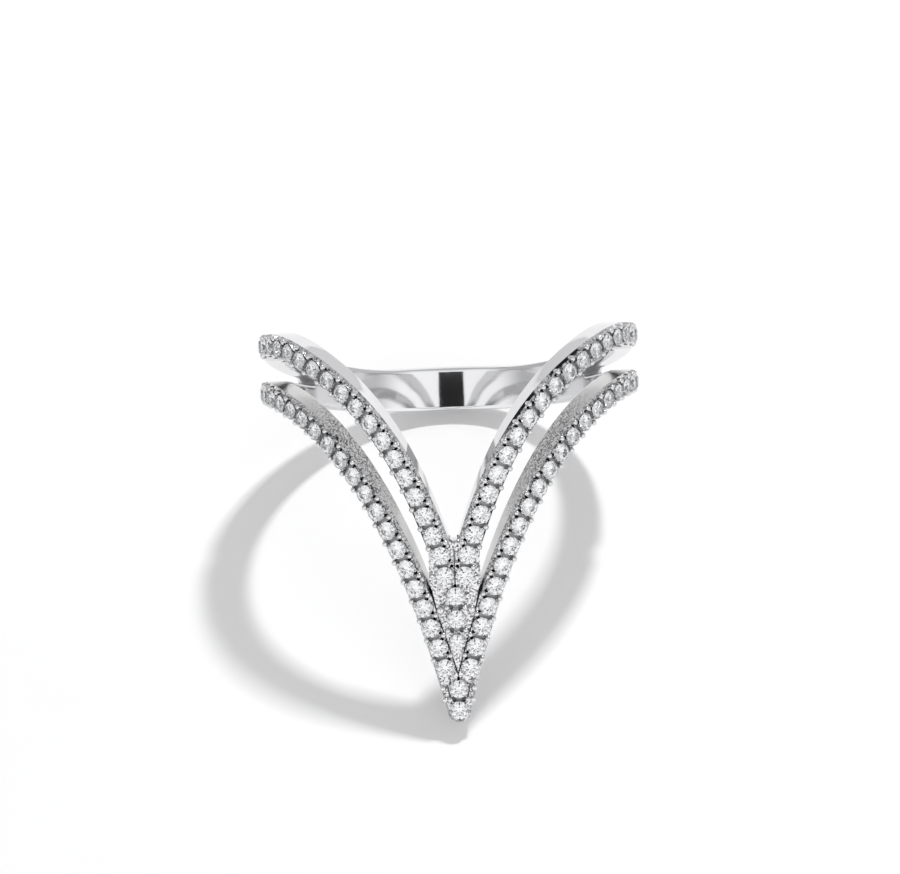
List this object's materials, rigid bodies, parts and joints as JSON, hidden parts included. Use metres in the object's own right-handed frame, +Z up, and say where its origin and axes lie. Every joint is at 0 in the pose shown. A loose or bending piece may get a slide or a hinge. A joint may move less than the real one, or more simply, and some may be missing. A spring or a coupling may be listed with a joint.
{
  "type": "finger ring",
  "caption": "Double chevron ring: a plain band splits into two nested pointed rows of small round stones, set between claws.",
  "frame": {"origin": "middle of the ring's footprint on the surface that it lies on", "axes": "+Z up, away from the surface; +X to the wearer's side of the band, with the chevrons' points in the YZ plane on the -Y side"},
  "size_m": [0.0206, 0.0257, 0.0145],
  "materials": {
    "silver": "polished, rhodium plated",
    "stone": "cut and polished, clear"
  },
  "bodies": {
    "root": {"band": "silver", "inner_stones": "stone", "outer_stones": "stone"}
  },
  "joints": []
}
